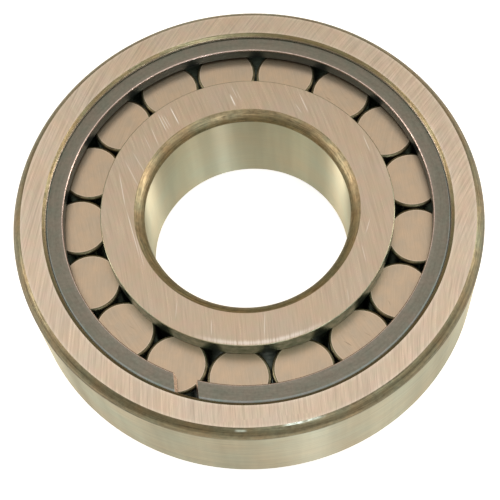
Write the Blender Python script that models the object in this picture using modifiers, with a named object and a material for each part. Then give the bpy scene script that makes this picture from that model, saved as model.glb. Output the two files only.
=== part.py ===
"""Full-complement cylindrical roller bearing, 35 x 80 x 21 mm, lying with its axis along +Z.

The outer ring has one integral flange at its back, and a snap ring in a groove at its front.
Rollers run side by side, with no cage, between two flanges of the inner ring.
The origin is on the axis, in the plane of the back faces. Lengths are in metres.
"""

from math import cos, pi, radians, sin

import bmesh
import bpy
from mathutils import Matrix, Vector

MM = 0.001

# Boundary dimensions, which are those of a standard 35 mm bore, medium series bearing.
BORE_RADIUS = 17.5 * MM
OUTER_RADIUS = 40.0 * MM
WIDTH = 21.0 * MM

# Roller complement
ROLLER_COUNT = 17
ROLLER_RADIUS = 5.25 * MM
ROLLER_LENGTH = 13.6 * MM
ROLLER_EDGE = 0.5 * MM
ROLLER_GAP = 0.13 * MM
FIRST_ROLLER_ANGLE = radians(-98.4)
ROLLER_PITCH_ANGLE = 2 * pi / ROLLER_COUNT
PITCH_RADIUS = (2 * ROLLER_RADIUS + ROLLER_GAP) / (2 * sin(ROLLER_PITCH_ANGLE / 2))

# Clearances
RUNNING_CLEARANCE = 0.05 * MM
END_CLEARANCE = 0.1 * MM

# Raceways and flanges
INNER_RACEWAY = PITCH_RADIUS - ROLLER_RADIUS - RUNNING_CLEARANCE
OUTER_RACEWAY = PITCH_RADIUS + ROLLER_RADIUS + RUNNING_CLEARANCE
FLANGE_HEIGHT = 1.25 * MM
INNER_FLANGE_RADIUS = INNER_RACEWAY + FLANGE_HEIGHT
OUTER_FLANGE_RADIUS = OUTER_RACEWAY - FLANGE_HEIGHT
TRACK_LOW = (WIDTH - ROLLER_LENGTH) / 2 - END_CLEARANCE
TRACK_HIGH = WIDTH - TRACK_LOW
RELIEF_DEPTH = 0.25 * MM
RELIEF_WIDTH = 0.7 * MM
FLANGE_EDGE = 0.15 * MM

# Corners of the rings
MOUNTING_CORNER = 1.5 * MM
BORE_CORNER = 1.65 * MM
MOUTH_CHAMFER = 0.6 * MM

# Snap ring and its groove
SNAP_THICKNESS = 2.4 * MM
SNAP_TOP = WIDTH - 1.0 * MM
SNAP_INNER_RADIUS = 31.4 * MM
SNAP_OUTER_RADIUS = 34.95 * MM
SNAP_INNER_EDGE = 0.25 * MM
SNAP_OUTER_EDGE = 1.1 * MM
SNAP_OFFSET = 0.3 * MM
GROOVE_CLEARANCE = 0.12 * MM
GROOVE_RADIUS = SNAP_OUTER_RADIUS + SNAP_OFFSET + GROOVE_CLEARANCE
SNAP_GAP = 3.75 * MM
SNAP_GAP_ANGLE = radians(-112.7)
SNAP_CUT_SLANT = radians(23)
SNAP_END_LEAN = 0.35 * MM

# Facets
RING_STEPS = 96
SNAP_STEPS = 88
ROLLER_STEPS = 30
CORNER_STEPS = 3
EDGE_STEPS = 2

# Finishes: base colour, metallic, roughness
FINISHES = {
    "ring_steel": ((0.52, 0.42, 0.30), 0.9, 0.34),
    "roller_steel": ((0.48, 0.38, 0.27), 0.9, 0.30),
    "snap_ring_steel": ((0.18, 0.16, 0.13), 0.8, 0.45),
}


def clear_scene():
    for obj in list(bpy.data.objects):
        bpy.data.objects.remove(obj, do_unlink=True)


def new_collection(name):
    collection = bpy.data.collections.new(name)
    bpy.context.scene.collection.children.link(collection)
    return collection


def finish(name):
    """A Principled material from the FINISHES table."""
    colour, metallic, roughness = FINISHES[name]
    material = bpy.data.materials.new(name)
    material.use_nodes = True
    shader = material.node_tree.nodes["Principled BSDF"]
    shader.inputs["Base Color"].default_value = (*colour, 1.0)
    shader.inputs["Metallic"].default_value = metallic
    shader.inputs["Roughness"].default_value = roughness
    material.diffuse_color = (*colour, 1.0)
    return material


def corner(start, apex, end, steps):
    """Points of a round corner from start to end, curving towards apex. A point is (radius, height)."""
    points = []
    for step in range(steps + 1):
        turn = pi / 2 * step / steps
        ahead, behind = 1 - cos(turn), 1 - sin(turn)
        radius = apex[0] + (start[0] - apex[0]) * behind + (end[0] - apex[0]) * ahead
        height = apex[1] + (start[1] - apex[1]) * behind + (end[1] - apex[1]) * ahead
        points.append((radius, height))
    return points


def square_corner(apex, incoming, outgoing, size, steps):
    """A round corner at apex, between edges that run along incoming and outgoing."""
    start = (apex[0] - incoming[0] * size, apex[1] - incoming[1] * size)
    end = (apex[0] + outgoing[0] * size, apex[1] + outgoing[1] * size)
    return corner(start, apex, end, steps)


OUT, IN, UP, DOWN = (1, 0), (-1, 0), (0, 1), (0, -1)


def outer_ring_profile():
    """The section of the outer ring, from its front corner down its outside and up its bore."""
    lip_low = SNAP_TOP + GROOVE_CLEARANCE
    groove_low = SNAP_TOP - SNAP_THICKNESS - GROOVE_CLEARANCE
    relief = OUTER_RACEWAY + RELIEF_DEPTH
    points = square_corner((OUTER_RADIUS, WIDTH), OUT, DOWN, MOUNTING_CORNER, CORNER_STEPS)
    points += square_corner((OUTER_RADIUS, 0), DOWN, IN, MOUNTING_CORNER, CORNER_STEPS)
    points += square_corner((OUTER_FLANGE_RADIUS, 0), IN, UP, FLANGE_EDGE, 1)
    points += square_corner((OUTER_FLANGE_RADIUS, TRACK_LOW), UP, OUT, FLANGE_EDGE / 2, 1)
    points += [
        (OUTER_RACEWAY - RELIEF_WIDTH / 2, TRACK_LOW),
        (relief, TRACK_LOW),
        (relief, TRACK_LOW + RELIEF_WIDTH / 2),
        (OUTER_RACEWAY, TRACK_LOW + RELIEF_WIDTH),
        (OUTER_RACEWAY, groove_low),
        (GROOVE_RADIUS, groove_low),
        (GROOVE_RADIUS, lip_low),
        (OUTER_RACEWAY, lip_low),
        (OUTER_RACEWAY, WIDTH - MOUTH_CHAMFER),
        (OUTER_RACEWAY + MOUTH_CHAMFER, WIDTH),
    ]
    return points


def inner_ring_profile():
    """The section of the inner ring, down its two flanges and the raceway between, and up its bore."""
    relief = INNER_RACEWAY - RELIEF_DEPTH
    points = square_corner((INNER_FLANGE_RADIUS, WIDTH), OUT, DOWN, FLANGE_EDGE, 1)
    points += square_corner((INNER_FLANGE_RADIUS, TRACK_HIGH), DOWN, IN, FLANGE_EDGE / 2, 1)
    points += [
        (relief, TRACK_HIGH),
        (relief, TRACK_HIGH - RELIEF_WIDTH / 2),
        (INNER_RACEWAY, TRACK_HIGH - RELIEF_WIDTH),
        (INNER_RACEWAY, TRACK_LOW + RELIEF_WIDTH),
        (relief, TRACK_LOW + RELIEF_WIDTH / 2),
        (relief, TRACK_LOW),
    ]
    points += square_corner((INNER_FLANGE_RADIUS, TRACK_LOW), OUT, DOWN, FLANGE_EDGE / 2, 1)
    points += square_corner((INNER_FLANGE_RADIUS, 0), DOWN, IN, FLANGE_EDGE, 1)
    points += square_corner((BORE_RADIUS, 0), IN, UP, BORE_CORNER, CORNER_STEPS)
    points += square_corner((BORE_RADIUS, WIDTH), UP, OUT, BORE_CORNER, CORNER_STEPS)
    return points


def snap_ring_profile():
    """The section of the snap ring's wire, which is rounder at its outer corners."""
    low = SNAP_TOP - SNAP_THICKNESS
    points = square_corner((SNAP_OUTER_RADIUS, SNAP_TOP), OUT, DOWN, SNAP_OUTER_EDGE, EDGE_STEPS)
    points += square_corner((SNAP_OUTER_RADIUS, low), DOWN, IN, SNAP_OUTER_EDGE, EDGE_STEPS)
    points += square_corner((SNAP_INNER_RADIUS, low), IN, UP, SNAP_INNER_EDGE, 1)
    points += square_corner((SNAP_INNER_RADIUS, SNAP_TOP), UP, OUT, SNAP_INNER_EDGE, 1)
    return points


def turned_piece(name, profile, steps, material, collection):
    """A closed section of (radius, height) points turned all the way round the Z axis."""
    count = len(profile)
    mesh = bpy.data.meshes.new(name)
    edges = [(index, (index + 1) % count) for index in range(count)]
    mesh.from_pydata([(radius, 0, height) for radius, height in profile], edges, [])
    mesh.materials.append(material)
    obj = bpy.data.objects.new(name, mesh)
    collection.objects.link(obj)
    screw = obj.modifiers.new("Turn", "SCREW")
    screw.axis = "Z"
    screw.angle = 2 * pi
    screw.steps = steps
    screw.render_steps = steps
    return obj


def gap_cutter(collection):
    """A slab through the snap ring, on a slant to the radius. Its sides are SNAP_GAP apart at the
    ring's top, and each leans in by SNAP_END_LEAN down to the ring's bottom.
    """
    length = 4 * (SNAP_OUTER_RADIUS - SNAP_INNER_RADIUS)
    height = 2 * SNAP_THICKNESS
    bpy.ops.mesh.primitive_cube_add(size=1)
    cutter = bpy.context.object
    cutter.name = "snap_ring_gap"
    cutter.data.transform(Matrix.Diagonal((length, SNAP_GAP, height, 1)))
    for vertex in cutter.data.vertices:
        lean = SNAP_END_LEAN * (vertex.co.z - SNAP_THICKNESS / 2) / SNAP_THICKNESS
        vertex.co.y += lean if vertex.co.y > 0 else -lean
    middle = (SNAP_INNER_RADIUS + SNAP_OUTER_RADIUS) / 2
    cutter.location = (
        middle * cos(SNAP_GAP_ANGLE),
        middle * sin(SNAP_GAP_ANGLE),
        SNAP_TOP - SNAP_THICKNESS / 2,
    )
    cutter.rotation_euler.z = SNAP_GAP_ANGLE + SNAP_CUT_SLANT
    for owner in list(cutter.users_collection):
        owner.objects.unlink(cutter)
    collection.objects.link(cutter)
    cutter.hide_render = True
    cutter.display_type = "WIRE"
    return cutter


def snap_ring(material, collection, helpers):
    """The split ring, which rests off centre in its groove, towards +Y."""
    ring = turned_piece("snap_ring", snap_ring_profile(), SNAP_STEPS, material, collection)
    ring.location.y = SNAP_OFFSET
    cut = ring.modifiers.new("Gap", "BOOLEAN")
    cut.operation = "DIFFERENCE"
    cut.object = gap_cutter(helpers)
    return ring


def roller_mesh(material):
    """A cylinder along Z, centred on the origin, with rounded end edges."""
    shape = bmesh.new()
    bmesh.ops.create_cone(
        shape,
        cap_ends=True,
        segments=ROLLER_STEPS,
        radius1=ROLLER_RADIUS,
        radius2=ROLLER_RADIUS,
        depth=ROLLER_LENGTH,
    )
    rims = [edge for edge in shape.edges if abs(edge.verts[0].co.z - edge.verts[1].co.z) < MM]
    bmesh.ops.bevel(
        shape,
        geom=rims,
        offset=ROLLER_EDGE,
        offset_type="OFFSET",
        segments=EDGE_STEPS,
        profile=0.5,
        affect="EDGES",
    )
    mesh = bpy.data.meshes.new("roller")
    shape.to_mesh(mesh)
    shape.free()
    mesh.materials.append(material)
    return mesh


def rollers(material, collection):
    """The complement, whose rollers share one mesh and hang on an empty on the bearing's axis."""
    orbit = bpy.data.objects.new("roller_orbit", None)
    orbit.location.z = WIDTH / 2
    collection.objects.link(orbit)
    mesh = roller_mesh(material)
    for index in range(ROLLER_COUNT):
        angle = FIRST_ROLLER_ANGLE + index * ROLLER_PITCH_ANGLE
        roller = bpy.data.objects.new(f"roller_{index + 1:02d}", mesh)
        roller.parent = orbit
        roller.location = Vector((cos(angle), sin(angle), 0)) * PITCH_RADIUS
        roller.rotation_euler.z = angle
        collection.objects.link(roller)


def shade(collection):
    """Round faces are smooth, and edges over 30 degrees stay sharp."""
    for mesh in {obj.data for obj in collection.objects if obj.type == "MESH"}:
        mesh.shade_smooth()
        mesh.set_sharp_from_angle(angle=radians(30))


def main():
    clear_scene()
    bearing = new_collection("cylindrical_roller_bearing")
    helpers = new_collection("cutters")
    ring_steel = finish("ring_steel")
    turned_piece("outer_ring", outer_ring_profile(), RING_STEPS, ring_steel, bearing)
    turned_piece("inner_ring", inner_ring_profile(), RING_STEPS, ring_steel, bearing)
    snap_ring(finish("snap_ring_steel"), bearing, helpers)
    rollers(finish("roller_steel"), bearing)
    shade(bearing)


if __name__ == "__main__":
    main()
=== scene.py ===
"""Looks of a full-complement cylindrical roller bearing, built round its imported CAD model.

Each ring, the snap ring and each roller is turned again as a finer piece with ground, turned,
honed, rolled and sheared finishes. The bearing lies on a pale floor with its axis along +Z.
Lengths are in metres, in the CAD model's own frame.
"""

from math import atan2, ceil, cos, hypot, pi, radians, sin

import bmesh
import bpy
from bpy.props import FloatProperty, FloatVectorProperty, IntProperty, PointerProperty
from mathutils import Matrix, Vector


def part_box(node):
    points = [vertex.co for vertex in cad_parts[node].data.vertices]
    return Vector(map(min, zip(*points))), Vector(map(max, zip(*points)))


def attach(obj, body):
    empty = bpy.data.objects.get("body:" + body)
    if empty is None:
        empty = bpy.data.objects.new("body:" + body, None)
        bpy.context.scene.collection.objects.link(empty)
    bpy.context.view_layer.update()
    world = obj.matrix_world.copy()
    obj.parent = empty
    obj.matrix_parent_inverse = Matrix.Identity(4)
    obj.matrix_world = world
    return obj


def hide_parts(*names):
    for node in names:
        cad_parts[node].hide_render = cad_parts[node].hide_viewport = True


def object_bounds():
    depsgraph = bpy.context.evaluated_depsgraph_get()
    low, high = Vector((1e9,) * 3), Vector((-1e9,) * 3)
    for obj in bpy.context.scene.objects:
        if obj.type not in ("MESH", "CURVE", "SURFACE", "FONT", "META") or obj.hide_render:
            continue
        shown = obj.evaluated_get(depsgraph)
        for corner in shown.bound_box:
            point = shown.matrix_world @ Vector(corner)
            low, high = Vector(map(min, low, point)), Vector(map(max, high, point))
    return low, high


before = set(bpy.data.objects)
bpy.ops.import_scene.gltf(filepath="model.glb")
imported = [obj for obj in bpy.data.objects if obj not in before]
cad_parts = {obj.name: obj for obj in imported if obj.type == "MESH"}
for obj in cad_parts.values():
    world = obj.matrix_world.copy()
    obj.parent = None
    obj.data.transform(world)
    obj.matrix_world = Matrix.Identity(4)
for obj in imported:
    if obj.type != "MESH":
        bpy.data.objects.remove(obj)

bl_info = {
    "name": "Cylindrical Roller Bearing Finisher",
    "version": (1, 0, 0),
    "blender": (4, 5, 0),
    "location": "View3D > Sidebar > Bearing",
    "description": "Builds the finished rings, snap ring and rollers of a bearing round its CAD frame",
    "category": "Object",
}

MM = 0.001


# --- Sizes read from the frame ---------------------------------------------------------------

def node_centre(node):
    """The middle of a CAD node's box."""
    low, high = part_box(node)
    return (low + high) / 2


def radius_range(node):
    """The least and the greatest distance of a CAD node's corners from its own centre line."""
    centre = node_centre(node)
    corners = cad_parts[node].data.vertices
    distances = [hypot(v.co.x - centre.x, v.co.y - centre.y) for v in corners]
    return min(distances), max(distances)


def height_range(node):
    """The lowest and the highest Z of a CAD node."""
    low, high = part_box(node)
    return low.z, high.z


ROLLERS = sorted(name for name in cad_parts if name.startswith("roller_"))
CAD_BOX = [list(corner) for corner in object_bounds()]
WIDTH = height_range("outer_ring")[1]
OUTER_FLANGE_RADIUS, OUTER_RADIUS = radius_range("outer_ring")
BORE_RADIUS, INNER_FLANGE_RADIUS = radius_range("inner_ring")
SNAP_INNER_RADIUS, SNAP_OUTER_RADIUS = radius_range("snap_ring")
SNAP_LOW, SNAP_TOP = height_range("snap_ring")
SNAP_OFFSET = node_centre("snap_ring").y
ROLLER_LOW, ROLLER_HIGH = height_range(ROLLERS[0])
ROLLER_RADIUS = radius_range(ROLLERS[0])[1]
FIRST_CENTRE = node_centre(ROLLERS[0])
PITCH_RADIUS = hypot(FIRST_CENTRE.x, FIRST_CENTRE.y)

# Fits and corners of the rings, the same as the CAD model's
RUNNING_CLEARANCE = 0.05 * MM
END_CLEARANCE = 0.1 * MM
RELIEF_DEPTH = 0.25 * MM
RELIEF_WIDTH = 0.7 * MM
MOUNTING_CORNER = 1.5 * MM
BORE_CORNER = 1.65 * MM
MOUTH_CHAMFER = 0.6 * MM
FLANGE_EDGE = 0.15 * MM
GROOVE_CLEARANCE = 0.12 * MM

# The snap ring's gap, whose sides are parallel at its top and lean in towards its bottom
SNAP_GAP = 3.75 * MM
SNAP_GAP_ANGLE = radians(-112.7)
SNAP_CUT_SLANT = radians(23)
SNAP_END_LEAN = 0.35 * MM

# Where the finished pieces differ from the CAD model: the snap ring's edges are rounded a little
# less and it lies closer under the lip, the lip has a bright edge that is part wear and part painted
# highlight, and a mounting corner is deeper along the axis than across it
SNAP_OUTER_EDGE = 0.9 * MM
SNAP_INNER_EDGE = 0.22 * MM
LIP_CLEARANCE = 0.03 * MM
LIP_EDGE = 0.2 * MM
CORNER_DEPTH = 1.9 * MM

INNER_RACEWAY = PITCH_RADIUS - ROLLER_RADIUS - RUNNING_CLEARANCE
OUTER_RACEWAY = PITCH_RADIUS + ROLLER_RADIUS + RUNNING_CLEARANCE
TRACK_LOW = ROLLER_LOW - END_CLEARANCE
TRACK_HIGH = ROLLER_HIGH + END_CLEARANCE

# Smooth shading stops at an edge sharper than this, and an arc has a facet for each of these
SHARP_EDGE = radians(20)
ARC_FACET = radians(7)

# The snap ring's ends are broken along edges sharper than this
END_CORNER = radians(50)

# Metal that handling has rubbed or scratched; some of these colours are also painted highlights
RUBBED_FACE = (0.85, 0.78, 0.68)
# The corner's worn marks: part wear, part painted highlight
CORNER_WEAR_AND_HIGHLIGHT = (0.85, 0.95, 0.88)
RUBBED_ROLLER = (0.85, 0.74, 0.62)
# Bright colour of the scratches, and of the painted highlight along the inner face's edge
BRIGHT_SCRATCH_AND_HIGHLIGHT = (0.98, 0.95, 0.90)
DARK_SCRATCH = (0.22, 0.18, 0.14)
GREENER = (0.8, 1.0, 0.95)

# The stage
FLOOR_RADIUS = 6.0
FLOOR_GAP = 0.02 * MM
AIM_OFFSET = Vector((-0.255, -7.88, 0.0)) * MM


# --- Settings --------------------------------------------------------------------------------

def length(name, description, default):
    """A FloatProperty for a length in metres."""
    return FloatProperty(
        name=name, description=description, default=default,
        min=0, precision=5, subtype="DISTANCE", unit="LENGTH"
    )


def angle(name, description, degrees):
    """A FloatProperty for an angle, whose default is given in degrees."""
    return FloatProperty(
        name=name, description=description, default=radians(degrees), subtype="ANGLE", unit="ROTATION"
    )


def colour(name, description, default):
    """A FloatVectorProperty for a linear colour."""
    return FloatVectorProperty(
        name=name, description=description, default=default, size=3, min=0, max=1, subtype="COLOR"
    )


class BearingRings(bpy.types.PropertyGroup):
    """Sizes and colours of the outer and inner rings"""

    steps: IntProperty(name="Steps", description="Facets round each ring", default=288, min=96, step=4)
    corner_turn: angle("Corner turn", "How far a bore's corner curves between its two crisp edges", 44)
    mounting_turn: angle("Outer corner turn", "How far an outer corner curves between its edges", 50)
    edge_break: length("Edge break", "Rounding of the small edges", 0.08 * MM)
    outer_face: colour("Outer ring face", "Coarsely ground steel", (0.604, 0.517, 0.412))
    inner_face: colour("Inner ring face", "Finely ground steel", (0.511, 0.427, 0.326))
    outside: colour("Outside", "Ground outer cylinder", (0.565, 0.545, 0.43))
    bore: colour("Bore", "Honed bore", (0.66, 0.645, 0.495))
    corner: colour("Bore corners", "Turned and hardened corners of the bore", (0.325, 0.275, 0.175))
    mounting: colour("Outer corners", "Turned and hardened corners of the outside", (0.225, 0.20, 0.135))
    # The lip edge's bright colour: part wear, part painted highlight
    lip_edge: colour("Lip edge", "Bright worn edge of the outer ring's mouth", (0.66, 0.56, 0.50))
    race: colour("Raceways", "Oiled raceways, flanges and groove", (0.165, 0.215, 0.165))
    flange_edge: colour("Flange edge", "Broken edge of the inner ring's flanges", (0.38, 0.39, 0.295))


class BearingSnapRing(bpy.types.PropertyGroup):
    """Sizes and colours of the snap ring"""

    steps: IntProperty(name="Steps", description="Facets round the snap ring", default=264, min=88, step=4)
    edge_break: length("End edge break", "Rounding of the edges of the two sheared ends", 0.18 * MM)
    phosphate: colour("Surface", "Dark phosphated spring steel", (0.211, 0.193, 0.162))
    tarnish: colour("Tarnish", "Greenish patches of the surface", (0.181, 0.191, 0.160))
    wall: colour("Walls", "Darker inner and outer walls", (0.10, 0.115, 0.12))
    # The inner rim's bright colour: part wear, part painted highlight along the inner edge
    rim: colour("Inner rim", "Bright worn inner edge", (0.58, 0.47, 0.43))
    # The shoulder is lighter than the surface: part rubbed, part painted highlight along the outer edge
    shoulder: colour("Outer shoulder", "Rubbed rounding of the outer edge", (0.25, 0.255, 0.25))
    shear: colour("Ends", "Bare metal of the sheared ends", (0.90, 0.76, 0.71))


class BearingRollers(bpy.types.PropertyGroup):
    """Sizes and colours of the rollers"""

    steps: IntProperty(name="Steps", description="Facets round each roller", default=96, min=30, step=6)
    edge: length("Edge", "Rounding between a roller's end and its side", 0.48 * MM)
    end: colour("Ends", "Satin end faces", (0.52, 0.425, 0.32))
    # Painted shade: the sides and the brown edges are darkened for the shade in the gaps between the rollers
    side: colour("Sides", "Lapped cylindrical sides", (0.27, 0.28, 0.21))
    edge_tint_and_shade: colour("Edges", "Tumbled brown edges", (0.16, 0.14, 0.09))


class BearingStage(bpy.types.PropertyGroup):
    """The floor, the light and the camera"""

    floor: colour("Floor", "Pale floor", (0.80, 0.79, 0.76))
    overhead: colour("Overhead light", "Tint of the large soft light above", (1.0, 0.93, 0.87))
    horizon: colour("Horizon", "Tint of the dim room at eye level", (0.20, 0.18, 0.12))
    lens: FloatProperty(name="Lens", description="Focal length", default=99.615, subtype="DISTANCE_CAMERA")
    elevation: angle("Camera elevation", "Height of the camera over the bearing's front face", 63.81)
    distance: length("Camera distance", "From the middle of the bearing's front face", 233.44 * MM)
    roll: angle("Camera roll", "Clockwise turn of the camera", 6.338)


SETTINGS = {
    "bearing_rings": BearingRings,
    "bearing_snap_ring": BearingSnapRing,
    "bearing_rollers": BearingRollers,
    "bearing_stage": BearingStage,
}


# --- Turned shapes ---------------------------------------------------------------------------

def into_scene(obj):
    bpy.context.scene.collection.objects.link(obj)


def mesh_of(shape, name):
    """A mesh made from a bmesh, which is then freed."""
    mesh = bpy.data.meshes.new(name)
    shape.to_mesh(mesh)
    shape.free()
    return mesh


def arc(start, end, turn):
    """Points from start up to end, without end, on an arc that turns left by turn."""
    chord = end - start
    if abs(turn) < radians(1):
        return [start]
    radius = chord.length / (2 * sin(turn / 2))
    first = atan2(chord.y, chord.x) - turn / 2
    steps = max(2, ceil(abs(turn) / ARC_FACET))
    points = []
    for step in range(steps):
        heading = first + turn * step / steps
        points.append(start + radius * Vector((sin(heading) - sin(first), cos(first) - cos(heading))))
    return points


def bend(before, after):
    """The angle by which the direction turns left from before to after."""
    return atan2(before.x * after.y - before.y * after.x, before.dot(after))


def closed_section(runs):
    """(radius, height) points of a closed section, and the finish of the edge that starts at each.

    A run is (finish, end, turn, edge): it reaches its end along an arc that turns left by turn,
    and the corner there is rounded, edge away from it on both sides.
    """
    points, finishes = [], []
    for index, (finish, end, turn, edge) in enumerate(runs):
        _, start, _, edge_before = runs[index - 1]
        following = runs[(index + 1) % len(runs)][1]
        start, end, following = Vector(start), Vector(end), Vector(following)
        ahead = (end - start).normalized()
        beyond = (following - end).normalized()
        run = arc(start + ahead * edge_before, end - ahead * edge, turn)
        if edge:
            run += arc(end - ahead * edge, end + beyond * edge, bend(ahead, beyond))
        points += run
        finishes += [finish] * len(run)
    return points, finishes


def turned_mesh(name, runs, steps, materials):
    """A closed section turned all the way round the Z axis, with a finish for each of its runs.

    The section runs down the outer side, so its faces point out.
    """
    points, finishes = closed_section(runs)
    count = len(points)
    outline = bpy.data.meshes.new(name + "_section")
    edges = [(index, (index + 1) % count) for index in range(count)]
    outline.from_pydata([(point.x, 0, point.y) for point in points], edges, [])
    blank = bpy.data.objects.new(name + "_section", outline)
    into_scene(blank)
    screw = blank.modifiers.new("Turn", "SCREW")
    screw.axis = "Z"
    screw.angle = 2 * pi
    screw.steps = steps
    screw.render_steps = steps
    depsgraph = bpy.context.evaluated_depsgraph_get()
    mesh = bpy.data.meshes.new_from_object(blank.evaluated_get(depsgraph))
    bpy.data.objects.remove(blank)
    mesh.name = name
    order = list(dict.fromkeys(finishes))
    for finish in order:
        mesh.materials.append(materials[finish])
    for polygon in mesh.polygons:
        low, high = (pick(vertex % count for vertex in polygon.vertices) for pick in (min, max))
        edge = high if high - low > 1 else low
        polygon.material_index = order.index(finishes[edge])
    return mesh


def crisp(obj):
    """Smooth shading that stops at sharp edges and leaves flat faces flat."""
    obj.data.shade_smooth()
    obj.data.set_sharp_from_angle(angle=SHARP_EDGE)
    normals = obj.modifiers.new("Flat faces", "WEIGHTED_NORMAL")
    normals.keep_sharp = True
    normals.weight = 100
    return obj


def new_piece(name, mesh):
    """A finished piece in the scene, in place of an older one of that name."""
    if name in bpy.data.objects:
        bpy.data.objects.remove(bpy.data.objects[name])
    piece = bpy.data.objects.new(name, mesh)
    into_scene(piece)
    crisp(piece)
    return piece


# --- Shader nodes ----------------------------------------------------------------------------

def add(tree, kind, settings=None, **inputs):
    """A shader node of that kind. An input's value is a constant, or an output to link to it."""
    node = tree.nodes.new("ShaderNode" + kind)
    for key, value in (settings or {}).items():
        setattr(node, key, value)
    for key, value in inputs.items():
        plug(tree, node.inputs[key.replace("_", " ")], value)
    return node


def plug(tree, socket, value):
    """Links an output to a socket, or sets the socket's own value."""
    if isinstance(value, bpy.types.NodeSocket):
        tree.links.new(value, socket)
    else:
        socket.default_value = value


def operate(tree, kind, operation, values, output=0):
    node = add(tree, kind, {"operation": operation})
    for socket, value in zip(node.inputs, values):
        plug(tree, socket, value)
    return node.outputs[output]


def calc(tree, operation, *values):
    """The result of a Math node."""
    return operate(tree, "Math", operation, values)


def times(tree, first, second):
    """The product of two values."""
    return calc(tree, "MULTIPLY", first, second)


def weighed(tree, *parts):
    """The sum of some values, each given with its share."""
    total = None
    for value, share in parts:
        part = times(tree, value, share)
        total = calc(tree, "ADD", total, part) if total else part
    return total


def remap(tree, value, low, high, new_low=0.0, new_high=1.0, smooth=False):
    """value, moved from the range low..high to new_low..new_high and kept inside it."""
    kind = "SMOOTHSTEP" if smooth else "LINEAR"
    node = add(tree, "MapRange", {"interpolation_type": kind}, Value=value)
    for key, limit in (("From Min", low), ("From Max", high), ("To Min", new_low), ("To Max", new_high)):
        plug(tree, node.inputs[key], limit)
    return node.outputs["Result"]


def blend_colours(tree, share, first, second, kind="MIX"):
    """first and second mixed by share, or combined in another blend mode."""
    node = add(tree, "Mix", {"data_type": "RGBA", "blend_type": kind})
    share_socket, first_socket, second_socket = node.inputs[0], node.inputs[6], node.inputs[7]
    plug(tree, share_socket, share)
    for socket, value in ((first_socket, first), (second_socket, second)):
        plug(tree, socket, value if isinstance(value, bpy.types.NodeSocket) else (*value, 1.0))
    return node.outputs[2]


def vector_maths(tree, operation, *values, output=0):
    """The result of a Vector Math node. Output 1 is for a result that is one number."""
    return operate(tree, "VectorMath", operation, values, output)


def noise(tree, vector, detail=2.0, rough=0.5, fourth=None):
    """Plain noise of a vector, and perhaps a fourth value, already in the noise's own units."""
    kind = {"noise_dimensions": "3D" if fourth is None else "4D"}
    node = add(tree, "TexNoise", kind, Vector=vector, Scale=1.0, Detail=detail, Roughness=rough)
    if fourth is not None:
        plug(tree, node.inputs["W"], fourth)
    return node.outputs[0]


def new_group(name, inputs, outputs):
    """An empty node group, and the sockets that stand for its inputs and outputs inside it.

    Its first input is always the vector. The others are given with their default values, and the
    outputs are plain numbers.
    """
    group = bpy.data.node_groups.new(name, "ShaderNodeTree")
    for key, default in {"Vector": (0, 0, 0), **inputs}.items():
        kind = "Float" if isinstance(default, float) else "Vector"
        socket = group.interface.new_socket(name=key, in_out="INPUT", socket_type="NodeSocket" + kind)
        socket.default_value = default
    for key in outputs:
        group.interface.new_socket(name=key, in_out="OUTPUT", socket_type="NodeSocketFloat")
    source = group.nodes.new("NodeGroupInput").outputs
    sink = group.nodes.new("NodeGroupOutput").inputs
    return group, source, sink


def polar(tree, vector, centre_x=0.0, centre_y=0.0):
    """The distance and the angle of a point from an upright line."""
    split = add(tree, "SeparateXYZ", None, Vector=vector)
    east = calc(tree, "SUBTRACT", split.outputs["X"], centre_x)
    north = calc(tree, "SUBTRACT", split.outputs["Y"], centre_y)
    square = calc(tree, "ADD", times(tree, east, east), times(tree, north, north))
    return calc(tree, "SQRT", square), calc(tree, "ARCTAN2", north, east), split.outputs["Z"]


def grinding_group():
    """Fine lines left by a cup wheel, which are arcs round a centre outside the face."""
    group, source, sink = new_group(
        "Grinding lines",
        {
            "Centre X": 0.09,
            "Centre Y": 0.0,
            "Pitch": 0.25 * MM,
            "Length": 6 * MM,
            "Seed": 0.0,
        },
        ("Lines", "Fine"),
    )
    distance, turn, _ = polar(group, source["Vector"], source["Centre X"], source["Centre Y"])
    reach = calc(group, "SQRT", calc(group, "ADD", calc(group, "POWER", source["Centre X"], 2.0),
                                     calc(group, "POWER", source["Centre Y"], 2.0)))
    along = calc(group, "DIVIDE", times(group, turn, reach), source["Length"])
    for output, share, detail in (("Lines", 1.0, 3.0), ("Fine", 0.35, 2.0)):
        pitch = times(group, source["Pitch"], share)
        across = calc(group, "DIVIDE", distance, pitch)
        place = add(group, "CombineXYZ", None, X=across, Y=along, Z=source["Seed"])
        value = noise(group, place.outputs[0], detail, 0.6)
        plug(group, sink[output], remap(group, value, 0.25, 0.75))
    return group


def turning_group():
    """Lines that run round the axis, left by a lathe tool, a hone or a grinding wheel."""
    group, source, sink = new_group(
        "Turning lines",
        {
            "Pitch": 0.2 * MM,
            "Break": 6.0,
            "Seed": 0.0,
        },
        ("Lines",),
    )
    distance, turn, height = polar(group, source["Vector"])
    across = calc(group, "DIVIDE", distance, source["Pitch"])
    up = calc(group, "DIVIDE", height, source["Pitch"])
    around = [times(group, calc(group, kind, turn), source["Break"]) for kind in ("COSINE", "SINE")]
    seeded = calc(group, "ADD", around[1], source["Seed"])
    place = add(group, "CombineXYZ", None, X=across, Y=around[0], Z=seeded)
    value = noise(group, place.outputs[0], 2.0, 0.6, up)
    plug(group, sink["Lines"], remap(group, value, 0.32, 0.68))
    return group


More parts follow.
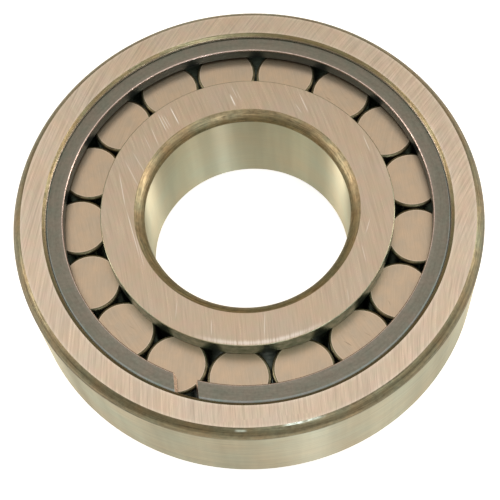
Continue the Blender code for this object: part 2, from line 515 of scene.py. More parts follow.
def scratch_group():
    """A few long bright scratches among the grinding lines, as a mask."""
    group, source, sink = new_group(
        "Long scratches",
        {
            "Centre X": -0.15,
            "Centre Y": -0.02,
            "Pitch": 0.3 * MM,
            "Length": 7 * MM,
            "Rarity": 0.62,
            "Seed": 0.0,
        },
        ("Scratches",),
    )
    distance, turn, _ = polar(group, source["Vector"], source["Centre X"], source["Centre Y"])
    across = calc(group, "DIVIDE", distance, source["Pitch"])
    reach = calc(group, "ABSOLUTE", source["Centre X"])
    along = calc(group, "DIVIDE", times(group, turn, reach), source["Length"])
    place = add(group, "CombineXYZ", None, X=across, Y=along, Z=source["Seed"])
    line = noise(group, place.outputs[0], 0.0)
    sharp = remap(group, line, source["Rarity"], calc(group, "ADD", source["Rarity"], 0.09), smooth=True)
    plug(group, sink["Scratches"], sharp)
    return group


def mark_group():
    """One straight scratch between two points of a level face, which fades at both ends."""
    group, source, sink = new_group(
        "Scratch mark",
        {
            "Start": (0, 0, 0),
            "End": (0, MM, 0),
            "Width": 0.2 * MM,
        },
        ("Mask",),
    )
    line = vector_maths(group, "SUBTRACT", source["End"], source["Start"])
    offset = vector_maths(group, "SUBTRACT", source["Vector"], source["Start"])
    square = vector_maths(group, "DOT_PRODUCT", line, line, output=1)
    share = calc(group, "DIVIDE", vector_maths(group, "DOT_PRODUCT", offset, line, output=1), square)
    cross = vector_maths(group, "CROSS_PRODUCT", offset, line)
    across = calc(group, "ABSOLUTE", add(group, "SeparateXYZ", None, Vector=cross).outputs["Z"])
    across = calc(group, "DIVIDE", across, calc(group, "SQRT", square))
    near = remap(group, calc(group, "DIVIDE", across, source["Width"]), 0.0, 1.0, 1.0, 0.0, smooth=True)
    middle = calc(group, "ABSOLUTE", calc(group, "SUBTRACT", share, 0.5))
    inside = remap(group, middle, 0.15, 0.5, 1.0, 0.0, smooth=True)
    plug(group, sink["Mask"], times(group, near, inside))
    return group


def cloud_group():
    """Slow uneven patches, from 0 to 1."""
    group, source, sink = new_group(
        "Patches",
        {"Size": 6 * MM, "Seed": 0.0},
        ("Patches",),
    )
    scaled = add(group, "VectorMath", {"operation": "SCALE"}, Vector=source["Vector"])
    plug(group, scaled.inputs["Scale"], calc(group, "DIVIDE", 1.0, source["Size"]))
    shift = add(group, "CombineXYZ", None, X=source["Seed"], Y=source["Seed"], Z=source["Seed"])
    moved = vector_maths(group, "ADD", scaled.outputs[0], shift.outputs[0])
    value = noise(group, moved, 3.0, 0.55)
    plug(group, sink["Patches"], remap(group, value, 0.3, 0.7))
    return group


def rub_group():
    """A mask for the metal that is rubbed bright within a width of an edge at some radius."""
    group, source, sink = new_group(
        "Rubbed edge",
        {"Radius": 0.04, "Width": 0.4 * MM},
        ("Mask",),
    )
    distance, _, _ = polar(group, source["Vector"])
    off = calc(group, "ABSOLUTE", calc(group, "SUBTRACT", distance, source["Radius"]))
    share = calc(group, "DIVIDE", off, source["Width"])
    plug(group, sink["Mask"], remap(group, share, 0.0, 1.0, 1.0, 0.0, smooth=True))
    return group


GROUPS = {
    "Grinding lines": grinding_group,
    "Turning lines": turning_group,
    "Long scratches": scratch_group,
    "Scratch mark": mark_group,
    "Patches": cloud_group,
    "Rubbed edge": rub_group,
}


def place_group(tree, name, vector, **values):
    """A shared node group in a material, with this material's own values. Returns its outputs."""
    group = bpy.data.node_groups.get(name) or GROUPS[name]()
    node = add(tree, "Group", {"node_tree": group}, Vector=vector)
    for key, value in values.items():
        plug(tree, node.inputs[key.replace("_", " ")], value)
    return node.outputs


def patchy(tree, vector, size, seed=0.0):
    """Slow uneven patches of about that size."""
    return place_group(tree, "Patches", vector, Size=size, Seed=seed)["Patches"]


def turning(tree, vector, pitch, breaks, seed=0.0):
    """Lines round the axis, each broken up a number of times round it."""
    return place_group(tree, "Turning lines", vector, Pitch=pitch, Break=breaks, Seed=seed)["Lines"]


def rubbing(tree, vector, radius, width):
    """A mask for metal that is rubbed bright within a width of a radius."""
    return place_group(tree, "Rubbed edge", vector, Radius=radius, Width=width)["Mask"]


def new_steel(name, roughness, anisotropic=0.0):
    """A bare metal material: its tree, its shader and the object's own coordinates."""
    old = bpy.data.materials.get(name)
    if old:
        bpy.data.materials.remove(old)
    material = bpy.data.materials.new(name)
    material.use_nodes = True
    tree = material.node_tree
    shader = tree.nodes["Principled BSDF"]
    shader.inputs["Metallic"].default_value = 1.0
    shader.inputs["Roughness"].default_value = roughness
    shader.inputs["Anisotropic"].default_value = anisotropic
    shader.inputs["Anisotropic Rotation"].default_value = 0.25 if anisotropic else 0.0
    vector = add(tree, "TexCoord").outputs["Object"]
    return material, tree, shader, vector


def shaded(tree, base, light, dark, value):
    """The base colour, dimmed to dark where value is 0 and raised to light where it is 1."""
    gain = remap(tree, value, 0.0, 1.0, dark, light)
    grey = add(tree, "CombineColor", None, Red=gain, Green=gain, Blue=gain).outputs[0]
    return blend_colours(tree, 1.0, base, grey, "MULTIPLY")


def bump(tree, shader, height, depth):
    """Relief of that depth in metres, from a height between 0 and 1."""
    node = add(tree, "Bump", None, Height=height, Strength=1.0, Distance=depth)
    plug(tree, shader.inputs["Normal"], node.outputs[0])


def dress(tree, shader, surface, relief, roughness, depth):
    """A metal's colour, its relief, and its roughness in the hollows and on the crests of it."""
    plug(tree, shader.inputs["Base Color"], surface)
    plug(tree, shader.inputs["Roughness"], remap(tree, relief, 0.0, 1.0, *roughness))
    bump(tree, shader, relief, depth)


def tinted(base, red, green, blue):
    """A colour multiplied channel by channel."""
    return tuple(part * gain for part, gain in zip(base, (red, green, blue)))


# --- Finishes of the rings -------------------------------------------------------------------

def ground_face(name, base, centre, pitch, contrast, depth):
    """A face ground by a cup wheel: arcs round a far centre, crossed by older ones.

    Returns the material, its tree and shader, the coordinates, the lines and the colour, for what
    follows.
    """
    material, tree, shader, vector = new_steel(name, 0.27)
    main = place_group(tree, "Grinding lines", vector, Centre_X=centre[0], Centre_Y=centre[1], Pitch=pitch,
                       Length=9 * MM)
    cross = place_group(tree, "Grinding lines", vector, Centre_X=-centre[0], Centre_Y=centre[1] + 30 * MM,
                        Pitch=pitch * 1.4, Length=9 * MM, Seed=7.0)
    patches = patchy(tree, vector, 7 * MM)
    fine_patches = patchy(tree, vector, 1.6 * MM, 6.0)
    lines = weighed(tree, (main["Lines"], 0.5), (main["Fine"], 0.35), (cross["Lines"], 0.15))
    tone = blend_colours(tree, patches, tinted(base, 1.03, 0.985, 0.95), tinted(base, 0.98, 1.0, 1.04))
    pink = blend_colours(tree, fine_patches, (1.03, 0.985, 1.0), (0.97, 1.01, 0.985))
    tone = blend_colours(tree, 1.0, tone, pink, "MULTIPLY")
    surface = shaded(tree, tone, 1 + contrast, 1 - contrast, lines)
    plug(tree, shader.inputs["Roughness"], remap(tree, lines, 0.0, 1.0, 0.35, 0.24))
    bump(tree, shader, lines, depth)
    return material, tree, shader, vector, lines, surface


def outer_face(base):
    """The outer ring's face, whose two edges are rubbed bright in places."""
    material, tree, shader, vector, lines, surface = ground_face(
        "outer_ring_face", base, centre=(90 * MM, -37 * MM), pitch=0.34 * MM, contrast=0.34, depth=1.6e-6
    )
    rubbed = 0.0
    for radius in (OUTER_RADIUS - MOUNTING_CORNER, OUTER_RACEWAY + MOUTH_CHAMFER):
        mask = rubbing(tree, vector, radius, 0.6 * MM)
        rubbed = calc(tree, "MAXIMUM", rubbed, mask)
    bright = times(tree, rubbed, times(tree, lines, 0.5))
    plug(tree, shader.inputs["Base Color"], blend_colours(tree, bright, surface, RUBBED_FACE))
    return material


# Marks on the metal: start, end, half-width and brightness, in millimetres
# The outer corner's worn marks sit where its highlights fall: part wear, part painted highlight
CORNER_WEAR_AND_HIGHLIGHT_MARKS = (
    ((1.6, -38.67), (6.0, -38.23), 0.28, 1.0),
    ((4.6, -38.43), (9.2, -37.6), 0.22, 0.8),
    ((-6.0, -38.5), (-3.6, -38.8), 0.24, 0.9),
)
INNER_FACE_MARKS = (
    ((-11.6, 21.4), (-10.0, 17.0), 0.16, 0.9),
    ((-11.1, 20.0), (-10.3, 17.6), 0.12, 0.5),
    ((-13.9, 20.5), (-12.3, 15.9), 0.13, 0.65),
    ((-13.3, 20.0), (-11.9, 16.4), 0.11, 0.6),
    ((-12.8, 19.9), (-11.5, 16.6), 0.10, 0.5),
    ((-15.2, 17.8), (-13.9, 13.3), 0.13, 0.4),
    ((-16.6, 16.5), (-15.2, 12.4), 0.13, 0.3),
    ((-18.8, 13.5), (-16.4, 8.0), 0.14, 0.3),
    ((-20.3, 12.2), (-17.6, 5.2), 0.15, 0.3),
    ((-21.2, 9.8), (-20.4, 1.8), 0.13, 0.5),
    ((-20.5, 3.0), (-18.5, -8.0), 0.13, 0.5),
    ((-19.2, -2.0), (-17.9, -9.5), 0.12, 0.3),
    ((-0.9, 22.6), (0.0, 19.6), 0.20, 0.9),
    ((-0.6, 24.4), (0.5, 21.0), 0.12, 0.35),
    ((0.2, 23.5), (1.2, 20.4), 0.10, 0.25),
    ((11.2, 21.2), (12.5, 16.6), 0.16, 0.45),
    ((10.2, 19.3), (11.4, 16.7), 0.14, 0.3),
    ((21.1, 11.8), (22.1, 7.6), 0.12, 0.45),
    ((18.2, -8.6), (18.6, -12.6), 0.10, 0.35),
    ((20.4, -4.2), (19.1, -7.4), 0.12, 0.4),
    ((-7.7, -19.2), (-8.0, -22.6), 0.11, 0.4),
    ((1.1, -18.8), (0.5, -24.0), 0.10, 0.45),
    ((14.9, -16.2), (14.9, -19.4), 0.14, 0.2),
    ((-13.0, -15.2), (-13.6, -19.0), 0.12, 0.25),
)


def marked(tree, vector, marks):
    """A mask for all of those marks."""
    bright = 0.0
    for start, end, width, share in marks:
        start, end = (Vector((*point, 0)) * MM for point in (start, end))
        mask = place_group(tree, "Scratch mark", vector, Start=start, End=end, Width=width * MM)["Mask"]
        bright = calc(tree, "MAXIMUM", bright, times(tree, mask, share))
    return bright


def inner_face(base):
    """The inner ring's face: fine lines, long scratches, and bright dashes along its -Y edge, part wear and
    part painted highlight.
    """
    material, tree, shader, vector, lines, surface = ground_face(
        "inner_ring_face", base, centre=(-150 * MM, -20 * MM), pitch=0.34 * MM, contrast=0.2, depth=1e-6
    )
    bright = marked(tree, vector, INNER_FACE_MARKS)
    radius = INNER_FLANGE_RADIUS - 0.55 * MM
    rim = rubbing(tree, vector, radius, 0.75 * MM)
    # Painted highlight, partly wear: bright streaks along the flange edge, only on the -Y side
    height = add(tree, "SeparateXYZ", None, Vector=vector).outputs["Y"]
    side = remap(tree, height, -0.86 * INNER_FLANGE_RADIUS, -0.97 * INNER_FLANGE_RADIUS, smooth=True)
    dashes = remap(tree, calc(tree, "ADD", lines, times(tree, rim, 0.25)), 0.45, 0.75)
    worn = times(tree, times(tree, rim, side), dashes)
    bright = calc(tree, "MAXIMUM", bright, times(tree, worn, 0.5))
    plug(tree, shader.inputs["Base Color"], blend_colours(tree, bright, surface, BRIGHT_SCRATCH_AND_HIGHLIGHT))
    return material


def turned_corner(name, base, depth=16e-6, marks=(), painted_glint=0.0):
    """A corner left as it was turned and hardened: tool lines, straw and olive colours, and painted glints.
    """
    material, tree, shader, vector = new_steel(name, 0.4)
    coarse = turning(tree, vector, 0.3 * MM, 3.5)
    fine = turning(tree, vector, 0.1 * MM, 9.0, 4.0)
    patches = patchy(tree, vector, 4 * MM, 2.0)
    tone = blend_colours(tree, patches, tinted(base, 1.1, 0.95, 0.84), tinted(base, 0.9, 1.03, 1.05))
    lines = weighed(tree, (coarse, 0.6), (fine, 0.4))
    speckle = patchy(tree, vector, 0.7 * MM, 8.0)
    lines = weighed(tree, (lines, 0.75), (speckle, 0.25))
    surface = shaded(tree, tone, 1.7, 0.36, lines)
    # Painted highlight: bright glints along fine turning grooves, painted into the colour
    if painted_glint:
        grooves = turning(tree, vector, 0.13 * MM, 7.0, 11.0)
        glints = times(tree, remap(tree, grooves, 0.72, 0.92), painted_glint)
        surface = blend_colours(tree, glints, surface, tinted(base, 2.7, 2.5, 2.5))
    # Worn marks painted bright: part wear, part painted highlight
    if marks:
        worn = times(tree, marked(tree, vector, marks), remap(tree, lines, 0.25, 0.55))
        surface = blend_colours(tree, worn, surface, CORNER_WEAR_AND_HIGHLIGHT)
    dress(tree, shader, surface, lines, (0.55, 0.33), depth)
    return material


def round_surface(name, base, roughness, pitch, contrast, depth, anisotropic, bands):
    """A ground or honed cylinder: fine lines round the axis, under soft bands along it."""
    material, tree, shader, vector = new_steel(name, roughness, anisotropic)
    lines = turning(tree, vector, pitch, 4.0, 1.0)
    patches = patchy(tree, vector, 9 * MM, 5.0)
    tall = vector_maths(tree, "MULTIPLY", vector, (1.0, 1.0, 0.08))
    upright = patchy(tree, tall, 4.5 * MM, 2.0)
    tone = blend_colours(tree, patches, tinted(base, 1.05, 0.98, 0.94), tinted(base, 0.96, 1.01, 1.03))
    surface = shaded(tree, tone, 1 + contrast, 1 - contrast, lines)
    surface = shaded(tree, surface, 1 + bands, 1 - bands, upright)
    plug(tree, shader.inputs["Base Color"], surface)
    plug(tree, shader.inputs["Roughness"], remap(tree, upright, 0.0, 1.0, roughness + 0.04, roughness - 0.03))
    bump(tree, shader, lines, depth)
    return material


def oiled_race(name, base):
    """Raceways, flange sides and the groove: darker steel under a film of oil."""
    material, tree, shader, vector = new_steel(name, 0.38)
    lines = turning(tree, vector, 0.12 * MM, 4.0, 8.0)
    patches = patchy(tree, vector, 1.3 * MM, 9.0)
    tone = blend_colours(tree, patches, tinted(base, 1.5, 1.4, 1.45), tinted(base, 0.6, 0.75, 0.7))
    plug(tree, shader.inputs["Base Color"], shaded(tree, tone, 1.35, 0.65, lines))
    plug(tree, shader.inputs["Roughness"], remap(tree, patches, 0.0, 1.0, 0.3, 0.46))
    shader.inputs["Coat Weight"].default_value = 0.15
    shader.inputs["Coat Roughness"].default_value = 0.2
    bump(tree, shader, lines, 1.5e-6)
    return material


# --- Finishes of the snap ring and the rollers -----------------------------------------------

def phosphated(name, base, tarnish, roughness=0.46):
    """Dark phosphated spring steel, with greenish patches and a faint rolled grain."""
    material, tree, shader, vector = new_steel(name, roughness)
    grain = turning(tree, vector, 0.3 * MM, 10.0, 6.0)
    patches = patchy(tree, vector, 2.2 * MM, 4.0)
    speckle = patchy(tree, vector, 0.5 * MM, 1.0)
    tone = blend_colours(tree, patches, base, tarnish)
    mottle = weighed(tree, (grain, 0.45), (speckle, 0.55))
    rim = rubbing(tree, vector, SNAP_INNER_RADIUS, 1.3 * MM)
    tone = blend_colours(tree, times(tree, rim, 0.3), tone, tinted(base, 1.5, 1.45, 1.55))
    surface = shaded(tree, tone, 1.24, 0.94, mottle)
    dress(tree, shader, surface, mottle, (roughness + 0.08, roughness - 0.08), 3e-6)
    return material


def sheared_end(name, base):
    """Bare torn or worn metal of the snap ring's ends, its inner rim and the lip's edge; on the last two,
    also painted highlight.
    """
    material, tree, shader, vector = new_steel(name, 0.3)
    torn = patchy(tree, vector, 0.5 * MM, 3.0)
    dress(tree, shader, shaded(tree, base, 1.3, 0.75, torn), torn, (0.4, 0.22), 12e-6)
    return material


def turned_by_grain(tree, vector):
    """The object's coordinates, turned about its axis by the object's own grain angle."""
    grain = add(tree, "Attribute", {"attribute_type": "OBJECT", "attribute_name": "grain_angle"})
    turn = add(tree, "VectorRotate", {"rotation_type": "Z_AXIS"}, Vector=vector, Angle=grain.outputs["Fac"])
    return turn.outputs[0], grain.outputs["Fac"]


def roller_end(name, base, radius):
    """A satin end face: very fine grinding lines, whose direction differs from roller to roller."""
    material, tree, shader, vector = new_steel(name, 0.34)
    vector, seed = turned_by_grain(tree, vector)
    main = place_group(tree, "Grinding lines", vector, Centre_X=60 * MM, Centre_Y=2 * MM, Pitch=0.2 * MM,
                       Length=4 * MM, Seed=seed)
    patches = patchy(tree, vector, 2.6 * MM, seed)
    scratches = place_group(tree, "Long scratches", vector, Centre_X=45 * MM, Centre_Y=20 * MM,
                            Pitch=0.25 * MM, Length=2.5 * MM, Rarity=0.79, Seed=seed)["Scratches"]
    tone = blend_colours(tree, patches, tinted(base, 1.08, 1.03, 0.98), tinted(base, 0.93, 0.96, 0.98))
    lines = weighed(tree, (main["Lines"], 0.6), (main["Fine"], 0.4))
    surface = shaded(tree, tone, 1.09, 0.91, lines)
    surface = blend_colours(tree, times(tree, scratches, 0.5), surface, DARK_SCRATCH)
    rim = rubbing(tree, vector, radius, 0.16 * MM)
    surface = blend_colours(tree, times(tree, rim, 0.5), surface, RUBBED_ROLLER)
    dress(tree, shader, surface, lines, (0.38, 0.30), 0.5e-6)
    return material


# --- Pieces ----------------------------------------------------------------------------------

def outer_ring_runs(sizes):
    """The outer ring's section, from its front corner down the outside and up the bore."""
    turn, edge = -sizes.mounting_turn, sizes.edge_break
    groove_low, lip_low = SNAP_LOW - GROOVE_CLEARANCE, SNAP_TOP + LIP_CLEARANCE
    groove = SNAP_OUTER_RADIUS + SNAP_OFFSET + GROOVE_CLEARANCE
    relief = OUTER_RACEWAY + RELIEF_DEPTH
    return [
        ("mounting", (OUTER_RADIUS, WIDTH - CORNER_DEPTH), turn, 0),
        ("outside", (OUTER_RADIUS, CORNER_DEPTH), 0, 0),
        ("mounting", (OUTER_RADIUS - MOUNTING_CORNER, 0), turn, 0),
        ("face", (OUTER_FLANGE_RADIUS, 0), 0, FLANGE_EDGE),
        ("race", (OUTER_FLANGE_RADIUS, TRACK_LOW), 0, FLANGE_EDGE / 2),
        ("race", (relief, TRACK_LOW), 0, edge),
        ("race", (relief, TRACK_LOW + RELIEF_WIDTH / 2), 0, edge),
        ("race", (OUTER_RACEWAY, TRACK_LOW + RELIEF_WIDTH), 0, edge),
        ("race", (OUTER_RACEWAY, groove_low), 0, edge),
        ("race", (groove, groove_low), 0, edge),
        ("race", (groove, lip_low), 0, edge),
        ("race", (OUTER_RACEWAY, lip_low), 0, edge),
        ("race", (OUTER_RACEWAY, WIDTH - MOUTH_CHAMFER - LIP_EDGE), 0, 0),
        ("lip_edge", (OUTER_RACEWAY + LIP_EDGE / 2, WIDTH - MOUTH_CHAMFER + LIP_EDGE / 2), -pi / 4, 0),
        ("corner", (OUTER_RACEWAY + MOUTH_CHAMFER, WIDTH), 0, 0),
        ("face", (OUTER_RADIUS - MOUNTING_CORNER, WIDTH), 0, 0),
    ]


def inner_ring_runs(sizes):
    """The inner ring's section, down its two flanges and the raceway between, and up its bore."""
    turn, edge = -sizes.corner_turn, sizes.edge_break
    relief = INNER_RACEWAY - RELIEF_DEPTH
    return [
        ("flange_edge", (INNER_FLANGE_RADIUS, WIDTH - FLANGE_EDGE), turn, 0),
        ("race", (INNER_FLANGE_RADIUS, TRACK_HIGH), 0, FLANGE_EDGE / 2),
        ("race", (relief, TRACK_HIGH), 0, edge),
        ("race", (relief, TRACK_HIGH - RELIEF_WIDTH / 2), 0, edge),
        ("race", (INNER_RACEWAY, TRACK_HIGH - RELIEF_WIDTH), 0, edge),
        ("race", (INNER_RACEWAY, TRACK_LOW + RELIEF_WIDTH), 0, edge),
        ("race", (relief, TRACK_LOW + RELIEF_WIDTH / 2), 0, edge),
        ("race", (relief, TRACK_LOW), 0, edge),
        ("race", (INNER_FLANGE_RADIUS, TRACK_LOW), 0, FLANGE_EDGE / 2),
        ("race", (INNER_FLANGE_RADIUS, FLANGE_EDGE), 0, 0),
        ("flange_edge", (INNER_FLANGE_RADIUS - FLANGE_EDGE, 0), turn, 0),
        ("face", (BORE_RADIUS + BORE_CORNER, 0), 0, 0),
        ("corner", (BORE_RADIUS, BORE_CORNER), turn, 0),
        ("bore", (BORE_RADIUS, WIDTH - BORE_CORNER), 0, 0),
        ("corner", (BORE_RADIUS + BORE_CORNER, WIDTH), turn, 0),
        ("face", (INNER_FLANGE_RADIUS - FLANGE_EDGE, WIDTH), 0, 0),
    ]


def snap_ring_runs():
    """The snap ring's section, which is rounder at its outer corners."""
    return [
        ("phosphate", (SNAP_OUTER_RADIUS - SNAP_OUTER_EDGE, SNAP_TOP), 0, 0),
        ("shoulder", (SNAP_OUTER_RADIUS, SNAP_TOP - SNAP_OUTER_EDGE), -pi / 2, 0),
        ("wall", (SNAP_OUTER_RADIUS, SNAP_LOW), 0, SNAP_OUTER_EDGE),
        ("wall", (SNAP_INNER_RADIUS, SNAP_LOW), 0, SNAP_INNER_EDGE),
        ("wall", (SNAP_INNER_RADIUS, SNAP_TOP - SNAP_INNER_EDGE), 0, 0),
        ("rim", (SNAP_INNER_RADIUS + SNAP_INNER_EDGE, SNAP_TOP), -pi / 2, 0),
    ]


def gap_cutter(material):
    """A slab as wide as the snap ring's gap, slanted to the radius, whose sides lean in going down."""
    depth = SNAP_TOP - SNAP_LOW
    reach = 4 * (SNAP_OUTER_RADIUS - SNAP_INNER_RADIUS)
    shape = bmesh.new()
    bmesh.ops.create_cube(shape, size=1)
    for vertex in shape.verts:
        side = 1 if vertex.co.y > 0 else -1
        up = 2 * vertex.co.z * depth
        lean = SNAP_END_LEAN * (up - depth / 2) / depth
        vertex.co = Vector((vertex.co.x * reach, side * (SNAP_GAP / 2 + lean), up))
    mesh = mesh_of(shape, "snap_ring_gap")
    mesh.materials.append(material)
    cutter = bpy.data.objects.new("snap_ring_gap", mesh)
    middle = (SNAP_INNER_RADIUS + SNAP_OUTER_RADIUS) / 2
    cutter.location = (middle * cos(SNAP_GAP_ANGLE), middle * sin(SNAP_GAP_ANGLE), (SNAP_LOW + SNAP_TOP) / 2)
    cutter.rotation_euler.z = SNAP_GAP_ANGLE + SNAP_CUT_SLANT
    into_scene(cutter)
    return cutter


def roller_mesh(sizes, materials):
    """A roller along Z round its own centre, with rounded edges between its ends and its side."""
    half = (ROLLER_HIGH - ROLLER_LOW) / 2
    shape = bmesh.new()
    bmesh.ops.create_cone(shape, cap_ends=True, segments=sizes.steps, radius1=ROLLER_RADIUS,
                          radius2=ROLLER_RADIUS, depth=2 * half)
    rims = [edge for edge in shape.edges if abs(edge.verts[0].co.z - edge.verts[1].co.z) < half]
    bmesh.ops.bevel(shape, geom=rims, offset=sizes.edge, offset_type="OFFSET", segments=8, profile=0.5,
                    affect="EDGES")
    shape.normal_update()
    for face in shape.faces:
        middle = face.calc_center_median()
        if abs(face.normal.z) > 0.999:
            face.material_index = 0
        elif abs(middle.z) < half - sizes.edge:
            face.material_index = 1
        else:
            face.material_index = 2
    mesh = mesh_of(shape, "roller_finished")
    for material in materials:
        mesh.materials.append(material)
    return mesh


class BEARING_OT_outer_ring(bpy.types.Operator):
    """Turn and grind the outer ring"""

    bl_idname = "bearing.outer_ring"
    bl_label = "Outer ring"
    bl_options = {"REGISTER", "UNDO"}

    def execute(self, context):
        sizes = context.scene.bearing_rings
        materials = {
            "face": outer_face(sizes.outer_face),
            "corner": turned_corner("outer_ring_mouth", tinted(sizes.corner, 0.9, 0.93, 0.93), painted_glint=0.3),
            "mounting": turned_corner("outer_ring_corner", sizes.mounting, marks=CORNER_WEAR_AND_HIGHLIGHT_MARKS),
            "outside": round_surface(
                "outer_ring_outside", sizes.outside, roughness=0.42, pitch=0.3 * MM, contrast=0.1,
                depth=0.4e-6, anisotropic=1.0, bands=0.09
            ),
            "race": oiled_race("outer_ring_race", sizes.race),
            # The lip edge: part wear, part painted highlight
            "lip_edge": sheared_end("outer_ring_lip_edge", sizes.lip_edge),
        }
        mesh = turned_mesh("outer_ring_finished", outer_ring_runs(sizes), sizes.steps, materials)
        ring = new_piece("outer_ring_finished", mesh)
        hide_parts("outer_ring")
        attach(ring, "outer_ring")
        return {"FINISHED"}


class BEARING_OT_inner_ring(bpy.types.Operator):
    """Turn, grind and hone the inner ring"""

    bl_idname = "bearing.inner_ring"
    bl_label = "Inner ring"
    bl_options = {"REGISTER", "UNDO"}

    def execute(self, context):
        sizes = context.scene.bearing_rings
        materials = {
            "face": inner_face(sizes.inner_face),
            "corner": turned_corner("inner_ring_corner", tinted(sizes.corner, 0.93, 0.93, 0.95), painted_glint=0.4),
            "flange_edge": turned_corner("inner_ring_flange_edge", sizes.flange_edge, depth=3e-6),
            "bore": round_surface(
                "inner_ring_bore", sizes.bore, roughness=0.4, pitch=0.2 * MM, contrast=0.03,
                depth=0.3e-6, anisotropic=1.0, bands=0.08
            ),
            "race": oiled_race("inner_ring_race", sizes.race),
        }
        mesh = turned_mesh("inner_ring_finished", inner_ring_runs(sizes), sizes.steps, materials)
        ring = new_piece("inner_ring_finished", mesh)
        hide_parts("inner_ring")
        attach(ring, "inner_ring")
        return {"FINISHED"}


class BEARING_OT_snap_ring(bpy.types.Operator):
    """Roll the snap ring and shear its two ends"""

    bl_idname = "bearing.snap_ring"
    bl_label = "Snap ring"
    bl_options = {"REGISTER", "UNDO"}

    def execute(self, context):
        sizes = context.scene.bearing_snap_ring
        materials = {
            "phosphate": phosphated("snap_ring_surface", sizes.phosphate, sizes.tarnish),
            "wall": phosphated("snap_ring_wall", sizes.wall, tinted(sizes.wall, *GREENER)),
            # The rim: part wear, part painted highlight
            "rim": sheared_end("snap_ring_rim", sizes.rim),
            # The shoulder: part rubbed, part painted highlight
            "shoulder": phosphated(
                "snap_ring_shoulder", sizes.shoulder, tinted(sizes.shoulder, *GREENER), roughness=0.3
            ),
        }
        ends = sheared_end("snap_ring_ends", sizes.shear)
        mesh = turned_mesh("snap_ring_finished", snap_ring_runs(), sizes.steps, materials)
        ring = new_piece("snap_ring_finished", mesh)
        ring.location.y = SNAP_OFFSET
        cutter = gap_cutter(ends)
        cut = ring.modifiers.new("Gap", "BOOLEAN")
        cut.operation = "DIFFERENCE"
        cut.object = cutter
        cut.material_mode = "TRANSFER"
        edges = ring.modifiers.new("End edges", "BEVEL")
        edges.width = sizes.edge_break
        edges.segments = 3
        edges.limit_method = "ANGLE"
        edges.angle_limit = END_CORNER
        edges.material = len(materials)
        depsgraph = context.evaluated_depsgraph_get()
        cut_mesh = bpy.data.meshes.new_from_object(ring.evaluated_get(depsgraph))
        ring.modifiers.clear()
        ring.data = cut_mesh
        bpy.data.objects.remove(cutter)
        crisp(ring)
        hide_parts("snap_ring")
        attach(ring, "outer_ring")
        return {"FINISHED"}


class BEARING_OT_rollers(bpy.types.Operator):
    """Grind and tumble the full complement of rollers"""

    bl_idname = "bearing.rollers"
    bl_label = "Rollers"
    bl_options = {"REGISTER", "UNDO"}

    def execute(self, context):
        sizes = context.scene.bearing_rollers
        materials = (
            roller_end("roller_end", sizes.end, ROLLER_RADIUS - sizes.edge),
            # The dark sides and edges are painted shade of the gaps between the rollers
            round_surface(
                "roller_side", sizes.side, roughness=0.16, pitch=0.1 * MM, contrast=0.04,
                depth=0.3e-6, anisotropic=0.3, bands=0.04
            ),
            turned_corner("roller_edge", sizes.edge_tint_and_shade, depth=1e-6),
        )
        mesh = roller_mesh(sizes, materials)
        for index, node in enumerate(ROLLERS):
            roller = new_piece(f"{node}_finished", mesh)
            roller.location = node_centre(node)
            roller["grain_angle"] = radians(18 * sin(2.4 * index) + 9 * sin(5.3 * index))
            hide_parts(node)
            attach(roller, node)
        return {"FINISHED"}


# --- Stage -----------------------------------------------------------------------------------

def floor_material(tint):
    """A pale floor that is brighter to the camera than to the metal above it."""
    material = bpy.data.materials.new("pale_floor")
    material.use_nodes = True
    tree = material.node_tree
    shader = tree.nodes["Principled BSDF"]
    shader.inputs["Base Color"].default_value = (*tint, 1.0)
    shader.inputs["Roughness"].default_value = 0.9
    shader.inputs["Specular IOR Level"].default_value = 0.0
    shader.inputs["Emission Color"].default_value = (1.0, 1.0, 1.0, 1.0)
    camera = add(tree, "LightPath").outputs["Is Camera Ray"]
    plug(tree, shader.inputs["Emission Strength"], remap(tree, camera, 0.0, 1.0, 0.24, 0.80))
    return material


def stage_floor(settings):
    """A round floor just under the bearing."""
    shape = bmesh.new()
    bmesh.ops.create_circle(shape, cap_ends=True, segments=64, radius=FLOOR_RADIUS)
    mesh = mesh_of(shape, "floor")
    mesh.materials.append(floor_material(settings.floor))
    floor = bpy.data.objects.new("floor", mesh)
    floor.location.z = CAD_BOX[0][2] - FLOOR_GAP
    into_scene(floor)


def stage_world(settings):
    """A dim room with one large soft light overhead, which the camera sees as a pale backdrop."""
    world = bpy.data.worlds.new("studio")
    bpy.context.scene.world = world
    world.use_nodes = True
    tree = world.node_tree
    tree.nodes.clear()
    direction = add(tree, "SeparateXYZ", None, Vector=add(tree, "TexCoord").outputs["Generated"])
    east, north, up = (direction.outputs[axis] for axis in "XYZ")
    far = remap(tree, north, 0.50, 0.66, 1.0, 0.0, smooth=True)
    near = remap(tree, north, -0.62, -0.15, 0.0, 1.0, smooth=True)
    sides = remap(tree, calc(tree, "ABSOLUTE", east), 0.35, 0.85, 1.0, 0.0, smooth=True)
    panel = times(tree, times(tree, far, near), sides)
    panel = times(tree, panel, remap(tree, up, 0.0, 0.3))
    horizon = settings.horizon
    room = blend_colours(tree, remap(tree, up, 0.0, 0.8), horizon, tinted(horizon, 2.0, 2.0, 2.2))
    room = blend_colours(tree, remap(tree, north, 0.3, 0.9), room, tinted(horizon, 2.0, 1.8, 1.7))
    light = blend_colours(tree, panel, room, settings.overhead)
    dim = add(tree, "Background", None, Color=light, Strength=1.1)
    pale = add(tree, "Background", None, Color=(1.0, 1.0, 1.0, 1.0), Strength=1.0)
    camera = add(tree, "LightPath").outputs["Is Camera Ray"]
    mix = tree.nodes.new("ShaderNodeMixShader")
    output = tree.nodes.new("ShaderNodeOutputWorld")
    tree.links.new(camera, mix.inputs[0])
    tree.links.new(dim.outputs[0], mix.inputs[1])
    tree.links.new(pale.outputs[0], mix.inputs[2])
    tree.links.new(mix.outputs[0], output.inputs["Surface"])


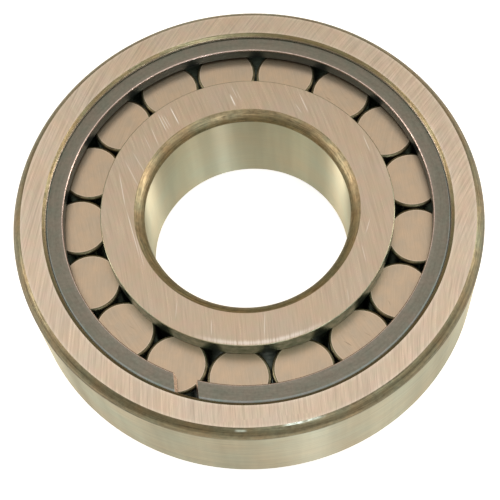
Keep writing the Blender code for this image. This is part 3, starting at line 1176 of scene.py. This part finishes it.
def soft_box(name, azimuth, elevation, distance, width, height, power, tint):
    """A rectangular light in that direction from the bearing, facing it."""
    light = bpy.data.lights.new(name, "AREA")
    light.shape = "RECTANGLE"
    light.size, light.size_y = width, height
    light.energy = power
    light.color = tint
    lamp = bpy.data.objects.new(name, light)
    lamp.visible_camera = False
    aim = Vector((0, 0, WIDTH))
    place = Vector((cos(elevation) * cos(azimuth), cos(elevation) * sin(azimuth), sin(elevation)))
    lamp.location = aim + place * distance
    lamp.rotation_euler = (-place).to_track_quat("-Z", "Y").to_euler()
    into_scene(lamp)


def stage_camera(settings):
    """Looks down at the front face from the side of the snap ring's gap."""
    data = bpy.data.cameras.new("camera")
    data.lens = settings.lens
    data.sensor_width = 36.0
    data.clip_start = 0.01
    camera = bpy.data.objects.new("camera", data)
    face = Vector((0, 0, WIDTH))
    back = Vector((0, -cos(settings.elevation), sin(settings.elevation)))
    camera.location = face + back * settings.distance
    aim = face + AIM_OFFSET
    level = (aim - camera.location).to_track_quat("-Z", "Y").to_matrix().to_4x4()
    place = Matrix.Translation(camera.location)
    camera.matrix_world = place @ level @ Matrix.Rotation(-settings.roll, 4, "Z")
    into_scene(camera)
    bpy.context.scene.camera = camera


class BEARING_OT_stage(bpy.types.Operator):
    """Set up the pale floor, the soft light and the camera"""

    bl_idname = "bearing.stage"
    bl_label = "Stage"
    bl_options = {"REGISTER", "UNDO"}

    def execute(self, context):
        settings = context.scene.bearing_stage
        stage_floor(settings)
        stage_world(settings)
        for side, azimuth in (("right", radians(8)), ("left", radians(172))):
            soft_box(f"{side}_window", azimuth, elevation=radians(26), distance=1.0,
                     width=0.28, height=0.68, power=3.6, tint=(1.0, 0.91, 0.83))
        for name, azimuth, power, tint in (
            ("front_lamp", radians(-74), 1.9, (0.92, 0.97, 1.0)),
            ("side_lamp", radians(-46), 0.9, (1.0, 0.97, 0.92)),
        ):
            soft_box(name, azimuth, elevation=radians(40), distance=1.2,
                     width=0.1, height=0.1, power=power, tint=tint)
        stage_camera(settings)
        view = context.scene.view_settings
        view.view_transform = "Standard"
        view.look = "None"
        return {"FINISHED"}


OPERATORS = (
    BEARING_OT_stage,
    BEARING_OT_outer_ring,
    BEARING_OT_inner_ring,
    BEARING_OT_snap_ring,
    BEARING_OT_rollers,
)


class BEARING_PT_panel(bpy.types.Panel):
    """Lists the bearing's settings and the operators that build it"""

    bl_idname = "BEARING_PT_panel"
    bl_label = "Roller Bearing"
    bl_space_type = "VIEW_3D"
    bl_region_type = "UI"
    bl_category = "Bearing"

    def draw(self, context):
        for key, group in SETTINGS.items():
            box = self.layout.box()
            settings = getattr(context.scene, key)
            for name in group.__annotations__:
                box.prop(settings, name)
        for operator in OPERATORS:
            self.layout.operator(operator.bl_idname)


def register():
    for group in SETTINGS.values():
        bpy.utils.register_class(group)
    for key, group in SETTINGS.items():
        setattr(bpy.types.Scene, key, PointerProperty(type=group))
    for item in (*OPERATORS, BEARING_PT_panel):
        bpy.utils.register_class(item)


def unregister():
    for item in (BEARING_PT_panel, *reversed(OPERATORS)):
        bpy.utils.unregister_class(item)
    for key, group in SETTINGS.items():
        delattr(bpy.types.Scene, key)
        bpy.utils.unregister_class(group)


def main():
    register()
    bpy.ops.bearing.stage()
    bpy.ops.bearing.outer_ring()
    bpy.ops.bearing.inner_ring()
    bpy.ops.bearing.snap_ring()
    bpy.ops.bearing.rollers()
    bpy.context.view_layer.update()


if __name__ == "__main__":
    main()
